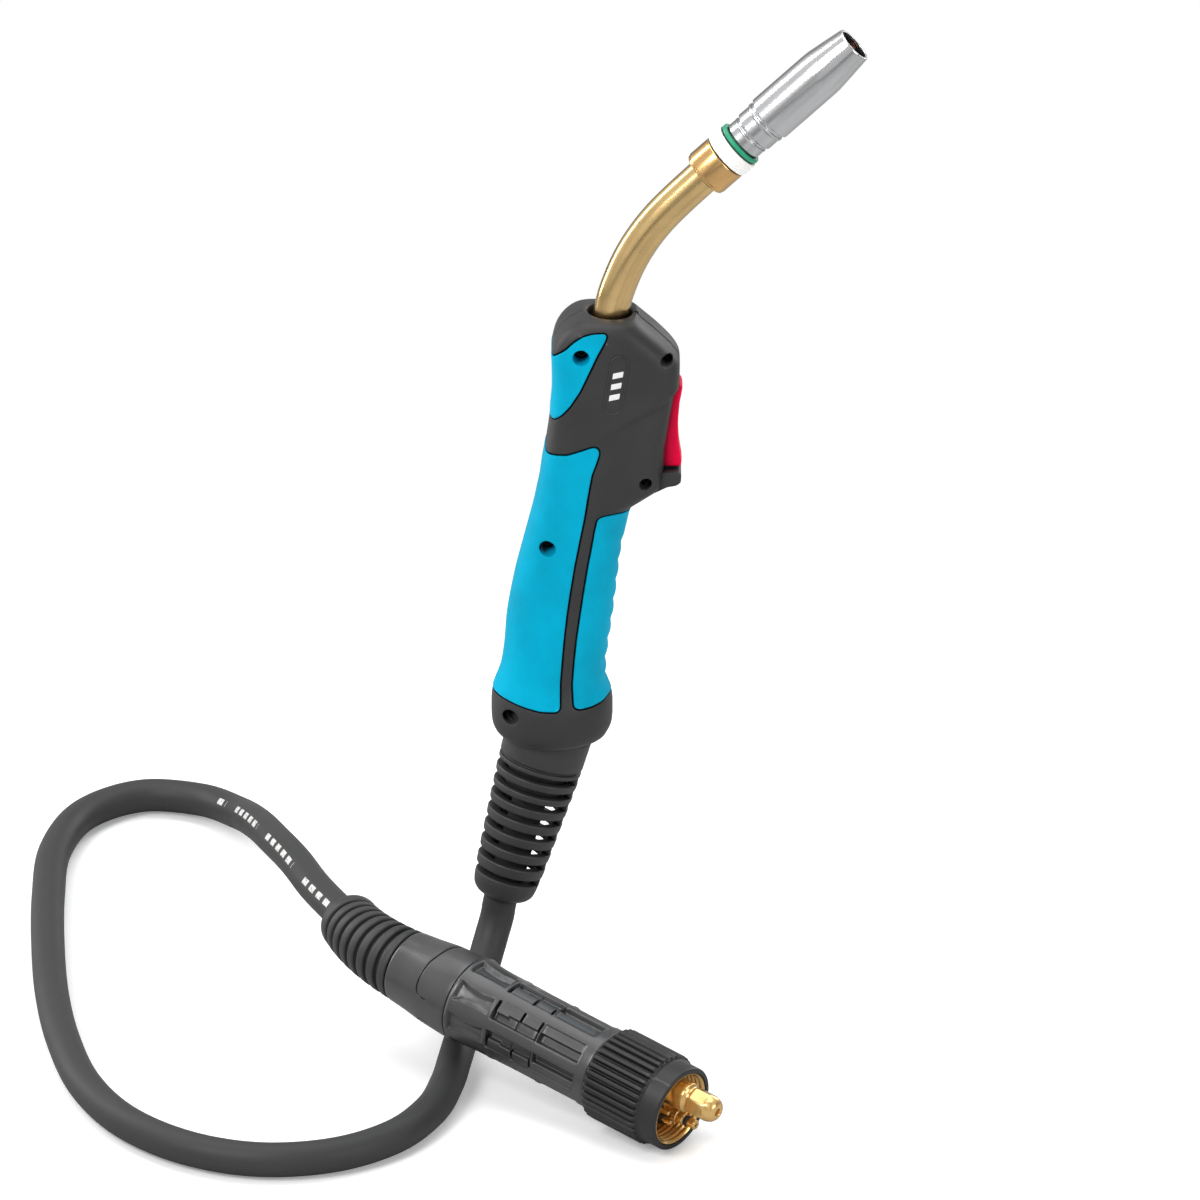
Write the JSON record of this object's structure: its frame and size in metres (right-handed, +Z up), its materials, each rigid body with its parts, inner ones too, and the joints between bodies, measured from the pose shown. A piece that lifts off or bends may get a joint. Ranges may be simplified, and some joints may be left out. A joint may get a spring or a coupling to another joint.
{
  "type": "mig welding torch",
  "caption": "Hand-held gas-shielded welding torch with a trigger handle, curved neck, slip-on gas nozzle, swivelling lead and a threaded central adaptor plug.",
  "frame": {"origin": "on the floor, under the centre of the whole torch with its lead laid out", "axes": "+Z up along the handle; the neck and trigger point towards +X; the handle's split plane faces Y, with its screws at -Y"},
  "size_m": [0.3577, 0.3732, 0.4387],
  "materials": {
    "shell_black": "fine grain, satin",
    "pad_blue": "soft, satin",
    "trigger_red": "gloss",
    "badge_black": "satin",
    "boot_rubber": "matt",
    "cable_rubber": "matt",
    "plug_black": "satin",
    "nut_black": "fine grain",
    "neck_brass": "polished, drawn",
    "collar_brass": "turned",
    "plug_brass": "turned, bright",
    "copper": "copper alloy, turned",
    "chrome": "turned and plated",
    "steel": "zinc plated",
    "insulator_white": "smooth",
    "seal_green": "smooth",
    "switch_grey": "satin"
  },
  "bodies": {
    "lead": {"strain_relief_boot": "boot_rubber", "cable": "cable_rubber", "cable_ferrule": "plug_brass", "plug_boot": "boot_rubber", "plug_rear_housing": "plug_black", "plug_housing": "plug_black", "plug_body": "plug_brass", "main_pin": "plug_brass", "gas_nipple": "plug_brass", "nipple_seal": "boot_rubber", "pin_insulator_1": "nut_black", "pin_insulator_2": "nut_black"},
    "swivel": {"swivel_ball": "boot_rubber"},
    "handle": {"handle_shell_front": "shell_black", "handle_shell_back": "shell_black", "thumb_pad_front": "pad_blue", "thumb_pad_back": "pad_blue", "palm_grip_front": "pad_blue", "palm_grip_back": "pad_blue", "finger_grip_front": "pad_blue", "finger_grip_back": "pad_blue", "shell_screw_1": "steel", "shell_screw_2": "steel", "shell_screw_3": "steel", "shell_screw_4": "steel", "shell_screw_5": "steel", "trigger_pin": "steel", "switch_body": "switch_grey", "badge_plate": "badge_black", "swan_neck_tube": "neck_brass", "neck_block": "neck_brass", "core_hose": "cable_rubber", "neck_collar": "collar_brass", "insulator_ring": "insulator_white", "seal_ring": "seal_green", "tip_holder": "collar_brass", "gas_diffuser": "insulator_white", "nozzle_spring": "steel"},
    "trigger": {"trigger_lever": "trigger_red"},
    "plunger": {"switch_plunger": "trigger_red"},
    "nozzle": {"gas_nozzle": "chrome"},
    "tip": {"contact_tip": "copper"},
    "nut": {"adaptor_nut": "nut_black", "nut_insert": "plug_brass"},
    "pin_1": {"control_pin_1": "plug_brass"},
    "pin_2": {"control_pin_2": "plug_brass"}
  },
  "joints": [
    {"name": "swivel_twist", "type": "hinge", "parent": "lead", "child": "swivel", "pos_m": [0.0487, -0.0024, 0.128], "axis": [0.2691, 0.1045, 0.9574], "continuous": true},
    {"name": "handle_tilt", "type": "hinge", "parent": "swivel", "child": "handle", "pos_m": [0.0487, -0.0024, 0.128], "axis": [0, 1, 0], "range_deg": [0, 31]},
    {"name": "trigger_press", "type": "hinge", "parent": "handle", "child": "trigger", "pos_m": [0.0963, -0.0024, 0.2775], "axis": [0, 1, 0], "range_deg": [0, 8], "stiffness_Nm_per_rad": 0.5},
    {"name": "switch_plunger_slide", "type": "slide", "parent": "handle", "child": "plunger", "axis": [-1, 0, 0], "range_m": [0, 0.0032]},
    {"name": "nozzle_pull", "type": "slide", "parent": "handle", "child": "nozzle", "axis": [0.729, 0, 0.6845], "range_m": [0, 0.07]},
    {"name": "tip_removal", "type": "slide", "parent": "handle", "child": "tip", "axis": [0.729, 0, 0.6845], "range_m": [0, 0.05]},
    {"name": "adaptor_nut_spin", "type": "hinge", "parent": "lead", "child": "nut", "pos_m": [0.1019, -0.1566, 0.0191], "axis": [0.7725, -0.618, -0.1461], "continuous": true},
    {"name": "control_pin_1_press", "type": "slide", "parent": "lead", "child": "pin_1", "axis": [-0.7725, 0.618, 0.1461], "range_m": [0, 0.0025], "stiffness_N_per_m": 300},
    {"name": "control_pin_2_press", "type": "slide", "parent": "lead", "child": "pin_2", "axis": [-0.7725, 0.618, 0.1461], "range_m": [0, 0.0025], "stiffness_N_per_m": 300}
  ],
  "couplings": [
    {"joint": "switch_plunger_slide", "follows": "trigger_press", "m_per_rad": 0.0215}
  ]
}
